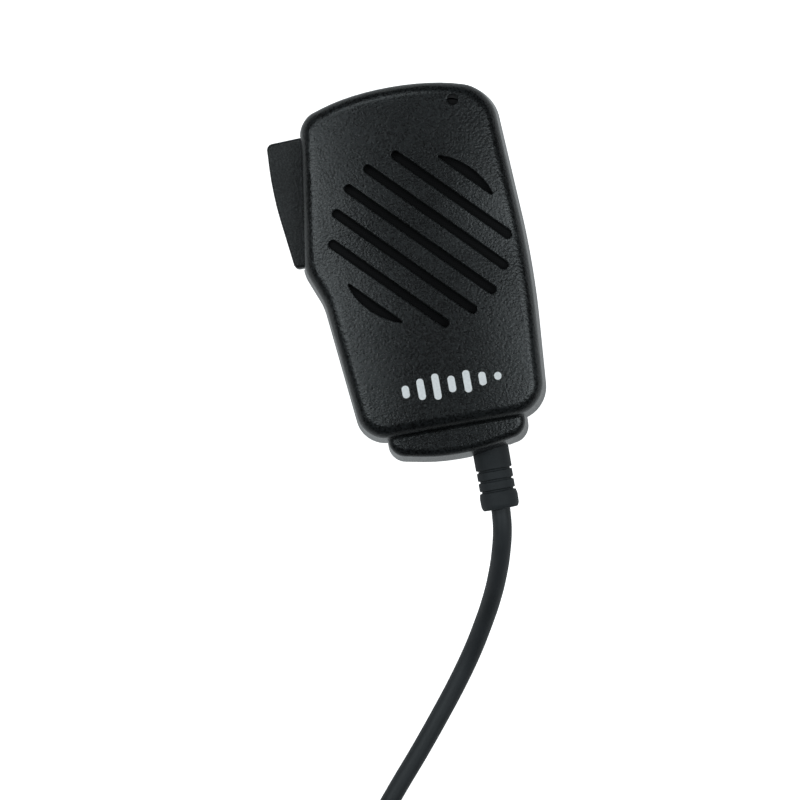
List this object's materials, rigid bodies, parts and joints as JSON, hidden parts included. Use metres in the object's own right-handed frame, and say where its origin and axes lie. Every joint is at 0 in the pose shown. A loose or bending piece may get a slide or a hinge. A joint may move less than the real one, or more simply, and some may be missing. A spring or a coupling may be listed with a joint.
{
  "type": "speaker microphone",
  "caption": "Hand-held speaker microphone with slotted round grille, side talk bar, swivel belt clip, straight cord and two-pin plug.",
  "frame": {"origin": "on the loudspeaker's axis, which is also the clip's swivel axis, at the flat outer face of the clip's jaw", "axes": "+X right as seen from the front, +Y along the case to its crown, +Z out through the grille"},
  "size_m": [0.0783, 0.2215, 0.0355],
  "materials": {
    "case_plastic": "black grained ABS, satin",
    "bar_plastic": "black ABS, coarse spark grain",
    "cord_rubber": "matt dark grey-black PVC",
    "clip_plastic": "black glass-filled nylon",
    "dark_plastic": "black moulded plastic",
    "steel": "zinc-plated steel",
    "dark_steel": "blackened steel",
    "brass": "plain turned brass",
    "nickel": "nickel plate",
    "board_green": "green solder mask",
    "cloth": "dark grey woven cloth",
    "cone_paper": "pressed black paper",
    "foam": "black foam",
    "boot_rubber": "black soft rubber",
    "red_lead": "red insulation",
    "black_lead": "black insulation",
    "white_lead": "white insulation",
    "yellow_lead": "yellow insulation",
    "nylon": "natural nylon"
  },
  "bodies": {
    "case": {"front_cover": "case_plastic", "rear_cover": "case_plastic", "case_screw_1": "dark_steel", "case_screw_2": "dark_steel", "case_screw_3": "dark_steel", "case_screw_4": "dark_steel", "talk_bar_pin": "steel", "talk_switch": "dark_plastic", "circuit_board": "board_green", "board_screw_1": "steel", "board_screw_2": "steel", "amplifier_chip": "dark_plastic", "large_capacitor": "dark_plastic", "small_capacitor": "dark_plastic", "cord_header": "nylon", "grille_cloth": "cloth", "speaker_gasket": "foam", "speaker_basket": "dark_steel", "speaker_cone": "cone_paper", "speaker_magnet": "dark_steel", "magnet_foam_pad": "foam", "speaker_terminals": "board_green", "microphone_boot": "boot_rubber", "microphone_capsule": "nickel", "speaker_lead_black": "black_lead", "speaker_lead_red": "red_lead", "microphone_lead_black": "black_lead", "microphone_lead_red": "red_lead", "clip_swivel_screw": "steel", "clip_washer": "steel", "swivel_insert": "brass", "cord_strain_relief": "cord_rubber", "cord_inner_end": "cord_rubber", "cord_tie": "nylon", "cord_core_red": "red_lead", "cord_core_white": "white_lead", "cord_core_yellow": "yellow_lead", "cord_core_black": "black_lead", "cord": "cord_rubber", "cord_coil": "cord_rubber", "coil_strap": "dark_plastic", "cord_tail": "cord_rubber", "plug_strain_relief": "cord_rubber", "plug_housing": "dark_plastic", "plug_small_sleeve": "nickel", "plug_small_insulator": "dark_plastic", "plug_small_tip": "nickel", "plug_large_sleeve": "nickel", "plug_large_insulator": "dark_plastic", "plug_large_tip": "nickel"},
    "talk_bar_body": {"talk_bar": "bar_plastic"},
    "switch_plunger_body": {"talk_switch_plunger": "nylon"},
    "clip_swivel_body": {"clip_base": "clip_plastic", "clip_pin": "steel", "clip_spring": "steel"},
    "clip_jaw_body": {"clip_jaw": "clip_plastic"}
  },
  "joints": [
    {"name": "talk_bar_press", "type": "hinge", "parent": "case", "child": "talk_bar_body", "pos_m": [-0.0202, 0.0015, 0], "axis": [0, 0, -1], "range_deg": [0, 4], "stiffness_Nm_per_rad": 0.5, "springref_deg": -3.44},
    {"name": "plunger_travel", "type": "slide", "parent": "case", "child": "switch_plunger_body", "axis": [1, 0, 0], "range_m": [0, 0.0009]},
    {"name": "clip_swivel", "type": "hinge", "parent": "case", "child": "clip_swivel_body", "pos_m": [0, 0, 0.0086], "axis": [0, 0, 1], "continuous": true},
    {"name": "clip_open", "type": "hinge", "parent": "clip_swivel_body", "child": "clip_jaw_body", "pos_m": [0, 0.0075, 0.0046], "axis": [1, 0, 0], "range_deg": [0, 25], "stiffness_Nm_per_rad": 0.15, "springref_deg": -22.92}
  ],
  "couplings": [
    {"joint": "plunger_travel", "follows": "talk_bar_press", "m_per_rad": 0.0125}
  ]
}
